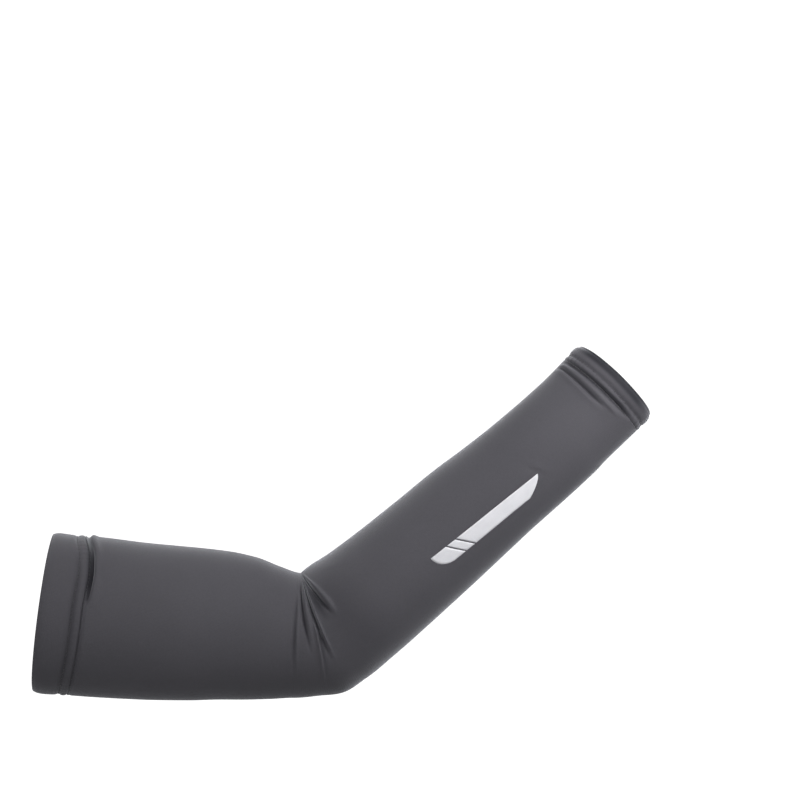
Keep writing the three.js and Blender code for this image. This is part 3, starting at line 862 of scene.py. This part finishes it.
def grown(name, paths, tree, sizes, material):
    """Runs a tree on each path and joins what it makes into one plain mesh."""
    parts = []
    for number, (points, closed) in enumerate(paths):
        path = path_object(f"{name}_path_{number}", points, closed)
        modifier = path.modifiers.new("stitching", "NODES")
        modifier.node_group = tree
        for socket in tree.interface.items_tree:
            if socket.in_out == "INPUT" and socket.name in sizes:
                modifier[socket.identifier] = sizes[socket.name] * MM
            if socket.in_out == "INPUT" and socket.name == "Material":
                modifier[socket.identifier] = material
        bpy.context.view_layer.update()
        result = path.evaluated_get(bpy.context.evaluated_depsgraph_get())
        mesh = bpy.data.meshes.new_from_object(result)
        bpy.data.objects.remove(path)
        part = bpy.data.objects.new(f"{name}_{number}", mesh)
        bpy.context.scene.collection.objects.link(part)
        parts.append(part)
    bpy.ops.object.select_all(action="DESELECT")
    for part in parts:
        part.select_set(True)
    bpy.context.view_layer.objects.active = parts[0]
    if len(parts) > 1:
        bpy.ops.object.join()
    made = parts[0]
    made.name = name
    made.data.name = name
    return made


def needle_path(width, spacing, row, place, lift):
    """A closed path in a needle row's groove."""
    around = np.linspace(0, TAU, NEEDLE_PATH_POINTS, endpoint=False)
    distance = np.full_like(around, width - row)
    base = place(distance)
    ripple = hem_ripple(width - spacing, width, distance, around, base) + seam_step(around, base)
    return skin(base, around, lift + ripple), True


def zigzag_path(width, spacing, place, lift):
    """The looper thread's path on the inside, from row to row over the turned-in edge."""
    girth = TAU * girth_radius(place(np.array([width]))[0])
    count = int(girth / LOOPER_PITCH)
    turn = np.linspace(0, 1, count * TURN_POINTS, endpoint=False)
    wave = np.clip(1.25 * np.sin(TAU * turn * count), -1, 1)
    distance = width - spacing / 2 + LOOPER_SHIFT + wave * spacing * LOOPER_REACH
    base = place(distance)
    return skin(base, TAU * turn, lift + hem_slack(base, TAU * turn)), True


def hem_stitches(name, width, spacing, place, tree, material):
    """The threads of the two needle rows, sunk in their grooves. The outer row is at the sewn edge."""
    rows = [needle_path(width, spacing, row, place, -STITCH_SINK) for row in (spacing, 0.02)]
    return grown(name, rows, tree, STITCH_SIZES, material)


def hem_looper(name, width, spacing, place, tree, material):
    """The zigzag thread inside a hem."""
    path = zigzag_path(width, spacing, place, -2 * CLOTH - HEM_GAP - LOOPER_GAP)
    return grown(name, [path], tree, LOOPER_SIZES, material)


def seam_overlock(tree, material):
    """Overlock thread across the seam allowance, seen only from inside."""
    start = TUBE_START + HEM_LAP + 1
    end = TUBE_END - HEM_LAP - 1
    count = int((end - start) / OVERLOCK_PITCH)
    turn = np.linspace(0, 1, count * TURN_POINTS)
    places = start + (end - start) * turn
    wave = np.clip(1.3 * np.sin(TAU * turn * count), -1, 1)
    around = SEAM_AROUND + wave * OVERLOCK_REACH * SEAM_WIDTH / girth_radius(places)
    lift = -CLOTH - SEAM_THICKNESS - OVERLOCK_GAP + OVERLOCK_EDGE_RISE * np.abs(wave) ** 3
    points = skin(places, around, lift + relief(places, around))
    return grown("seam_overlock", [(points, False)], tree, LOOPER_SIZES, material)


# Materials


class Shader:
    """A material under construction: a Principled shader, with short calls to add nodes before it."""

    def __init__(self, name):
        self.material = bpy.data.materials.new(name)
        self.material.use_nodes = True
        self.tree = self.material.node_tree
        self.base = self.tree.nodes["Principled BSDF"]

    def set(self, **values):
        for socket, value in values.items():
            self.base.inputs[socket.replace("_", " ")].default_value = value

    def node(self, kind, **values):
        made = self.tree.nodes.new(kind)
        for name, value in values.items():
            if hasattr(made, name):
                setattr(made, name, value)
            else:
                made.inputs[name.replace("_", " ")].default_value = value
        return made

    def link(self, source, target):
        self.tree.links.new(source, target)

    def feed(self, socket, value):
        """Sets a plain value on a socket, or links a node's output to it."""
        if isinstance(value, (int, float, tuple)):
            socket.default_value = value
        else:
            self.link(value, socket)

    def math(self, operation, *values):
        made = self.node("ShaderNodeMath", operation=operation)
        for socket, value in zip(made.inputs, values):
            self.feed(socket, value)
        return made.outputs[0]

    def noise(self, coordinates, scale, detail=2.0, roughness=0.5):
        made = self.node("ShaderNodeTexNoise", Scale=scale, Detail=detail, Roughness=roughness)
        self.link(coordinates, made.inputs["Vector"])
        return made.outputs[0]

    def share(self, first, second, second_share):
        """A mean of two values in which the second has its share."""
        first = self.math("MULTIPLY", first, 1 - second_share)
        return self.math("ADD", first, self.math("MULTIPLY", second, second_share))

    def blend(self, share, first, second):
        made = self.node("ShaderNodeMix", data_type="RGBA")
        self.link(share, made.inputs["Factor"])
        self.feed(made.inputs[6], first)
        self.feed(made.inputs[7], second)
        return made.outputs[2]

    def bump(self, height, strength, distance):
        """Raises the surface by a height, over a distance in metres."""
        made = self.node("ShaderNodeBump", Strength=strength, Distance=distance)
        self.link(height, made.inputs["Height"])
        self.link(made.outputs[0], self.base.inputs["Normal"])

    def paint(self, colour):
        self.link(colour, self.base.inputs["Base Color"])


def grey(red, green, blue):
    return (red, green, blue, 1.0)


# Each finish varies between a darker and a lighter colour
KNIT_COLOURS = (grey(0.0492, 0.0477, 0.0549), grey(0.0876, 0.0848, 0.0971))
HEM_COLOURS = (grey(0.0472, 0.0457, 0.0528), grey(0.0847, 0.0819, 0.094))
# The near-black that painted shade darkens the knit towards
PAINTED_SHADE_COLOUR = grey(0.008, 0.008, 0.012)
THREAD_COLOURS = (grey(0.03, 0.03, 0.034), grey(0.06, 0.059, 0.066))
FILM_COLOURS = (grey(0.52, 0.52, 0.548), grey(0.745, 0.745, 0.778))
OVERLOCK_COLOURS = (grey(0.022, 0.022, 0.026), grey(0.05, 0.049, 0.056))

# Textures, by how many there are to the metre. Wales are a knit's columns of loops, and courses its rows.
WALES = 1250.0
COURSES = 1450.0
FUZZ = 1400.0
HEATHER = 900.0
SLOW_TONES = 14.0
TWIST = 2200.0
BEADS = 2600.0
FILM_TONES = 160.0
OVERLOCK_RIDGES = 210.0

# Shares of the knit's relief, and the reliefs in metres
LOOP_HEIGHT = 0.4
WALE_DEPTH = 1.2
KNIT_RELIEF = 0.00006
FINE_RELIEF = 0.00005
OVERLOCK_RELIEF = 0.0002


def knit_material(name, colours):
    """Fine jersey: columns of small chevrons, a faint heather, soft, slow changes of tone, and painted shade
    from the shade attribute.
    """
    shader = Shader(name)
    shader.set(Roughness=0.72, Sheen_Weight=0.65, Sheen_Roughness=0.35, Sheen_Tint=grey(0.82, 0.84, 0.9))
    shader.set(Specular_IOR_Level=0.22)
    place = shader.node("ShaderNodeTexCoord").outputs["Object"]
    cloth = shader.node("ShaderNodeUVMap", uv_map="cloth")
    split = shader.node("ShaderNodeSeparateXYZ")
    shader.link(cloth.outputs[0], split.inputs[0])
    wale = shader.math("FRACT", shader.math("MULTIPLY", split.outputs["Y"], WALES))
    lean = shader.math("ABSOLUTE", shader.math("SUBTRACT", wale, 0.5))
    course = shader.math("ADD", shader.math("MULTIPLY", split.outputs["X"], COURSES), lean)
    loop = shader.math("SINE", shader.math("MULTIPLY", course, TAU))
    groove = shader.math("POWER", shader.math("MULTIPLY", lean, 2.0), 3.0)
    groove = shader.math("MULTIPLY", groove, -WALE_DEPTH)
    height = shader.math("ADD", shader.math("MULTIPLY", loop, LOOP_HEIGHT), groove)
    shader.bump(shader.math("ADD", height, shader.noise(place, FUZZ)), 0.35, KNIT_RELIEF)
    tone = shader.share(shader.noise(place, SLOW_TONES, 3.0), shader.noise(place, HEATHER, 3.0, 0.7), 0.45)
    # Painted shade: the shade attribute darkens the colour towards near-black in creases, needle rows and the
    # wrist rim
    shade = shader.node("ShaderNodeAttribute", attribute_name="shade")
    shader.paint(shader.blend(shade.outputs["Fac"], shader.blend(tone, *colours), PAINTED_SHADE_COLOUR))
    return shader.material


def thread_material():
    """Sewing thread with a fine twist."""
    shader = Shader("sewing thread")
    shader.set(Roughness=0.6, Sheen_Weight=0.25, Sheen_Roughness=0.4, Specular_IOR_Level=0.3)
    twist = shader.noise(shader.node("ShaderNodeTexCoord").outputs["Object"], TWIST)
    shader.bump(twist, 0.4, FINE_RELIEF)
    shader.paint(shader.blend(twist, *THREAD_COLOURS))
    return shader.material


def film_material():
    """Reflective transfer film: a fine grain of beads, with the knit just showing through."""
    shader = Shader("reflective film")
    shader.set(Roughness=0.5, Metallic=0.0, Specular_IOR_Level=0.45)
    place = shader.node("ShaderNodeTexCoord").outputs["Object"]
    beads = shader.noise(place, BEADS, 2.0, 0.7)
    tone = shader.share(beads, shader.noise(place, FILM_TONES, 3.0), 0.4)
    shader.paint(shader.blend(tone, *FILM_COLOURS))
    shader.bump(beads, 0.25, FINE_RELIEF)
    return shader.material


def overlock_material():
    """The allowance's edge, closely wrapped with thread."""
    shader = Shader("overlocked edge")
    shader.set(Roughness=0.85, Sheen_Weight=0.2, Specular_IOR_Level=0.2)
    cloth = shader.node("ShaderNodeUVMap", uv_map="cloth")
    ridges = shader.node("ShaderNodeTexWave", Scale=OVERLOCK_RIDGES, Distortion=1.5)
    shader.link(cloth.outputs[0], ridges.inputs["Vector"])
    shader.paint(shader.blend(ridges.outputs[1], *OVERLOCK_COLOURS))
    shader.bump(ridges.outputs[1], 0.6, OVERLOCK_RELIEF)
    return shader.material


# Stage: a white floor that glows more in the distance, soft lights and the camera, in metres

SEEN_WHITE = 1.15
FLOOR_HEIGHT = -0.36
FLOOR_SIZE = 60.0
FLOOR_GREY = 0.4
FLOOR_GLOW = 0.15
FLOOR_GLOW_START = 0.7
FLOOR_GLOW_WHOLE = 2.6
SKY_GLOW = 0.1
SKY_GLOW_START = -0.5
AIM = (0.2112, 0.0, 0.126)
CAMERA_AZIMUTH = -3 * DEGREE
CAMERA_ELEVATION = 0.5 * DEGREE
CAMERA_DISTANCE = 1.5
CAMERA_LENS = 113.4
CAMERA_SENSOR = 36


def rising(ramp, start, end, high):
    """Sets a range node to rise from nothing at start to high at end."""
    for socket, value in (("From Min", start), ("From Max", end), ("To Min", 0.0), ("To Max", high)):
        ramp.inputs[socket].default_value = value


def floor():
    """A square floor, painted grey and white to the camera."""
    half = FLOOR_SIZE / 2
    corners = [(-half, -half), (half, -half), (half, half), (-half, half)]
    mesh = bpy.data.meshes.new("floor")
    mesh.from_pydata([(x, y, FLOOR_HEIGHT) for x, y in corners], [], [(0, 1, 2, 3)])
    made = bpy.data.objects.new("floor", mesh)
    bpy.context.scene.collection.objects.link(made)
    shader = Shader("floor paint")
    shader.set(Roughness=0.9, Base_Color=grey(FLOOR_GREY, FLOOR_GREY, FLOOR_GREY), Specular_IOR_Level=0.1)
    place = shader.node("ShaderNodeTexCoord")
    length = shader.node("ShaderNodeVectorMath", operation="LENGTH")
    shader.link(place.outputs["Object"], length.inputs[0])
    ramp = shader.node("ShaderNodeMapRange", interpolation_type="SMOOTHSTEP")
    rising(ramp, FLOOR_GLOW_START, FLOOR_GLOW_WHOLE, FLOOR_GLOW)
    shader.link(length.outputs["Value"], ramp.inputs["Value"])
    shader.set(Emission_Color=grey(1.0, 1.0, 1.0))
    path = shader.node("ShaderNodeLightPath")
    white = shader.math("MULTIPLY", path.outputs["Is Camera Ray"], SEEN_WHITE)
    shader.link(shader.math("MAXIMUM", ramp.outputs[0], white), shader.base.inputs["Emission Strength"])
    mesh.materials.append(shader.material)


def backdrop_world():
    """White all round as seen, and a softer light that falls mostly from above."""
    world = bpy.data.worlds.new("white studio")
    bpy.context.scene.world = world
    world.use_nodes = True
    tree = world.node_tree
    tree.nodes.clear()
    link = tree.links.new
    seen = tree.nodes.new("ShaderNodeBackground")
    seen.inputs["Strength"].default_value = SEEN_WHITE
    seen.inputs["Color"].default_value = grey(1, 1, 1)
    lit = tree.nodes.new("ShaderNodeBackground")
    place = tree.nodes.new("ShaderNodeTexCoord")
    split = tree.nodes.new("ShaderNodeSeparateXYZ")
    ramp = tree.nodes.new("ShaderNodeMapRange")
    rising(ramp, SKY_GLOW_START, 1.0, SKY_GLOW)
    link(place.outputs["Generated"], split.inputs[0])
    link(split.outputs["Z"], ramp.inputs["Value"])
    link(ramp.outputs[0], lit.inputs["Strength"])
    path = tree.nodes.new("ShaderNodeLightPath")
    choose = tree.nodes.new("ShaderNodeMixShader")
    result = tree.nodes.new("ShaderNodeOutputWorld")
    link(path.outputs["Is Camera Ray"], choose.inputs[0])
    link(lit.outputs[0], choose.inputs[1])
    link(seen.outputs[0], choose.inputs[2])
    link(choose.outputs[0], result.inputs[0])


def turn_towards(made, target):
    made.rotation_euler = (Vector(target) - made.location).to_track_quat("-Z", "Y").to_euler()


# Soft lights: name, place, size and power in watts
LIGHTS = [
    ("left_key", (-0.2, -0.9, 0.7), 0.8, 6.2),
    ("top_light", (-0.2, 0.25, 0.8), 0.6, 3.2),
    ("wrist_side", (0.78, -0.1, 0.2), 0.4, 1.2),
    ("wrist_light", (0.5, -0.25, 0.28), 0.25, 1.4),
    ("back_light", (0.15, 0.85, 0.5), 0.9, 4.5),
    ("low_front", (0.05, -0.9, -0.2), 0.6, 1.8),
]
LIGHTS_AIM = (0.27, 0, 0.06)


def lights():
    for name, place, size, power in LIGHTS:
        lamp = bpy.data.lights.new(name, "AREA")
        lamp.shape = "DISK"
        lamp.size = size
        lamp.energy = power
        made = bpy.data.objects.new(name, lamp)
        made.location = place
        bpy.context.scene.collection.objects.link(made)
        turn_towards(made, LIGHTS_AIM)


def camera():
    lens = bpy.data.cameras.new("camera")
    lens.lens = CAMERA_LENS
    lens.sensor_width = CAMERA_SENSOR
    made = bpy.data.objects.new("camera", lens)
    flat = math.cos(CAMERA_ELEVATION) * CAMERA_DISTANCE
    made.location = (
        AIM[0] + math.sin(CAMERA_AZIMUTH) * flat,
        AIM[1] - math.cos(CAMERA_AZIMUTH) * flat,
        AIM[2] + math.sin(CAMERA_ELEVATION) * CAMERA_DISTANCE,
    )
    bpy.context.scene.collection.objects.link(made)
    turn_towards(made, AIM)
    bpy.context.scene.camera = made


def attach(made, slot, *nodes):
    """The piece rides on the part's one body, and the solids that it stands for are hidden. Its finish, slot,
    is not used.
    """
    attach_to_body(made, "root")
    if nodes:
        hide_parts(*nodes)
    return made


camera()
floor()
backdrop_world()
lights()
bpy.context.scene.view_settings.view_transform = "Standard"

knit = knit_material("stretch knit", KNIT_COLOURS)
hem_knit = knit_material("doubled knit", HEM_COLOURS)
thread = thread_material()
film = film_material()
needle = stitch_tree()
looper = looper_tree()

knit_tube = attach(tube(knit), "knit", "sleeve_tube")
upper_sizes = (UPPER_HEM_WIDTH, UPPER_NEEDLE_SPACING)
wrist_sizes = (WRIST_HEM_WIDTH, WRIST_NEEDLE_SPACING)
upper_band = hem("upper_hem_band", *upper_sizes, UPPER_ROLL, UPPER_GROOVE, from_upper_rim, hem_knit, True)
wrist_band = hem("wrist_hem_band", *wrist_sizes, WRIST_ROLL, WRIST_GROOVE, from_wrist_rim, hem_knit, False)
attach(upper_band, "hem_knit", "upper_hem")
attach(wrist_band, "hem_knit", "wrist_hem")

trims = [attach(seam_allowance(overlock_material()), "overlock", "seam_allowance")]
for node, start_line, end_line in (
    ("print_tail", rounded_tail, slit_line(FIRST_SLIT - PRINT_SLIT / 2)),
    ("print_bar", slit_line(FIRST_SLIT + PRINT_SLIT / 2), slit_line(SECOND_SLIT - PRINT_SLIT / 2)),
    ("print_strip", slit_line(SECOND_SLIT + PRINT_SLIT / 2), swept_end),
):
    trims.append(attach(print_field(f"{node}_film", start_line, end_line, film), "reflective_print", node))
for name, hem_sizes, place in (
    ("upper_hem", upper_sizes, from_upper_rim),
    ("wrist_hem", wrist_sizes, from_wrist_rim),
):
    trims.append(attach(hem_stitches(f"{name}_stitches", *hem_sizes, place, needle, thread), "overlock"))
    trims.append(attach(hem_looper(f"{name}_looper", *hem_sizes, place, looper, thread), "overlock"))
trims.append(attach(seam_overlock(looper, thread), "overlock"))
